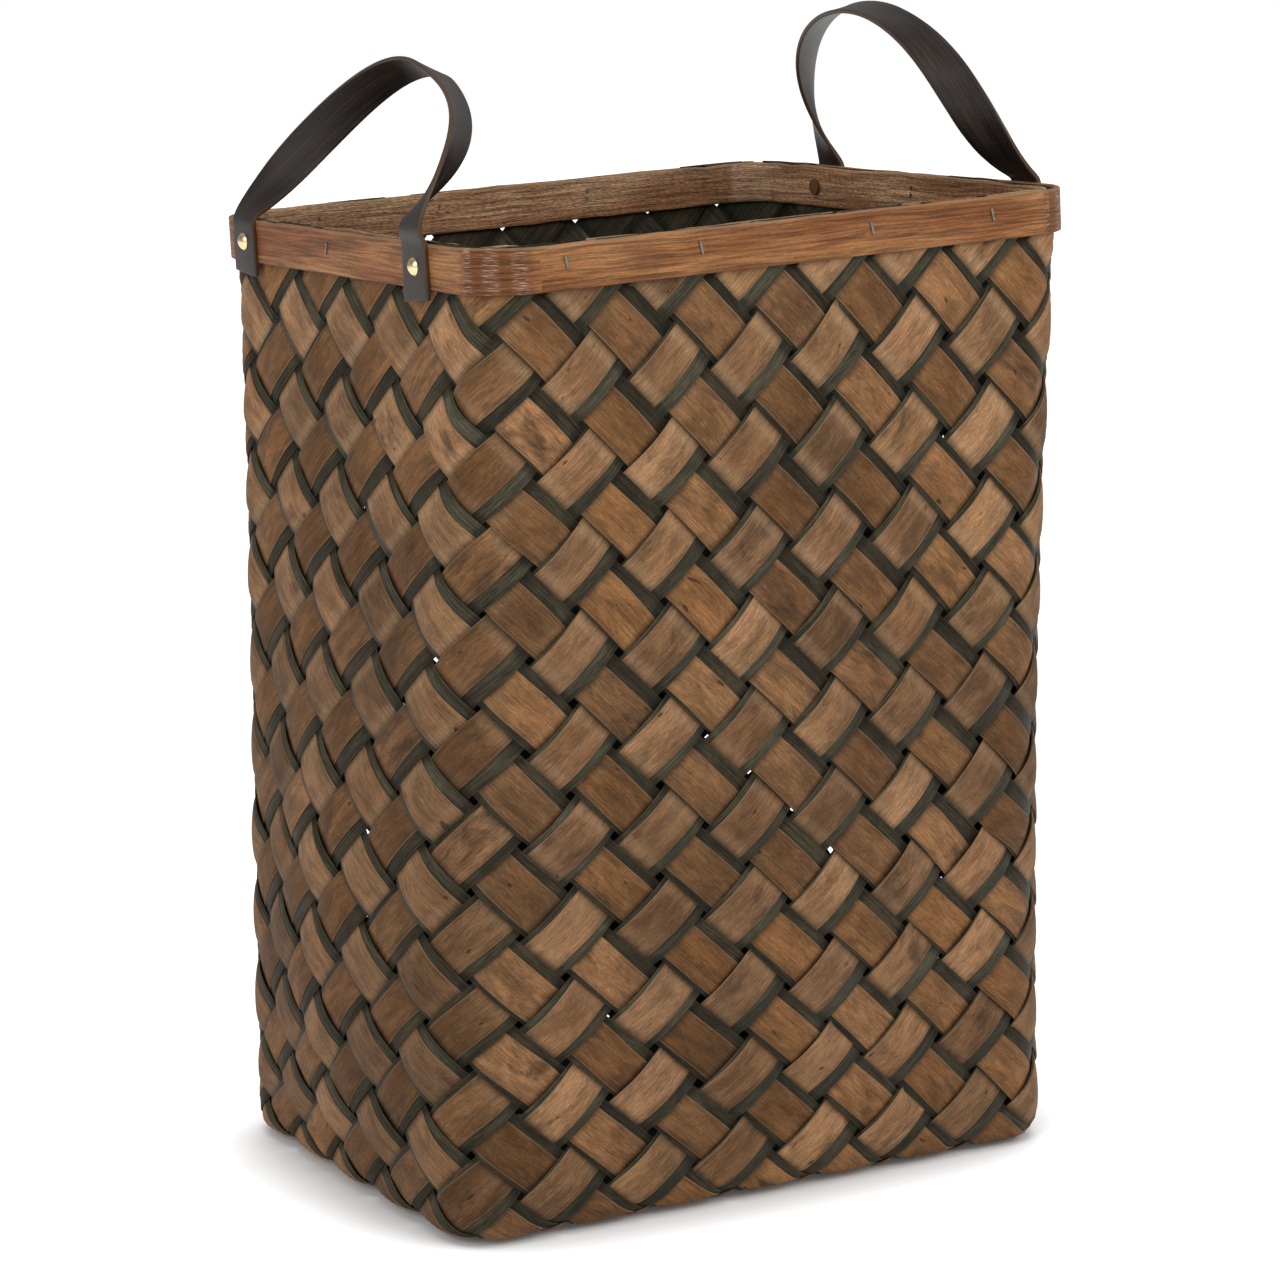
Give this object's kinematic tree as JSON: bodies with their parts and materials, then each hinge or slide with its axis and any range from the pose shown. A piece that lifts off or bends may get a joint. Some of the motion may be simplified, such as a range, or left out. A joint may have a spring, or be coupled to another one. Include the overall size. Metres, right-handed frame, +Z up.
{
  "type": "laundry basket",
  "caption": "Tall plaited wood-strip basket with rounded corners, a bent-wood rim band and riveted strap handles that swing.",
  "frame": {"origin": "centre of the base, at floor level", "axes": "+X along the long side towards the higher end of the rim, +Y along the short side towards the back, +Z up"},
  "size_m": [0.3752, 0.2932, 0.5727],
  "materials": {
    "plaited_strips": "thin brown veneer strips over wider dark olive-grey strips, dull and faintly waxed",
    "rim_wood": "bent brown wood with lengthwise grain, satin",
    "strap": "dark brown-black strap with a soft sheen and paler cut edges",
    "brass": "polished brass",
    "staple_wire": "dull steel wire"
  },
  "bodies": {
    "basket": {"woven_body": "plaited_strips", "outer_rim_hoop": "rim_wood", "inner_rim_hoop": "rim_wood", "left_front_tab": "strap", "left_back_tab": "strap", "right_front_tab": "strap", "right_back_tab": "strap", "left_front_rivet": "brass", "left_back_rivet": "brass", "right_front_rivet": "brass", "right_back_rivet": "brass", "left_front_cap": "brass", "left_back_cap": "brass", "right_front_cap": "brass", "right_back_cap": "brass", "front_staples": "staple_wire", "back_staples": "staple_wire", "left_staple": "staple_wire", "right_staple": "staple_wire"},
    "left_handle": {"left_handle_loop": "strap"},
    "right_handle": {"right_handle_loop": "strap"}
  },
  "joints": [
    {"name": "left_handle_fold", "type": "hinge", "parent": "basket", "child": "left_handle", "pos_m": [-0.16599, 0.0111, 0.47065], "axis": [0, -1, 0], "range_deg": [-25, 70], "stiffness_Nm_per_rad": 0.15, "springref_deg": 1.72},
    {"name": "right_handle_fold", "type": "hinge", "parent": "basket", "child": "right_handle", "pos_m": [0.16383, -0.0111, 0.4865], "axis": [0, 1, 0], "range_deg": [-25, 105], "stiffness_Nm_per_rad": 0.15, "springref_deg": 1.72}
  ]
}
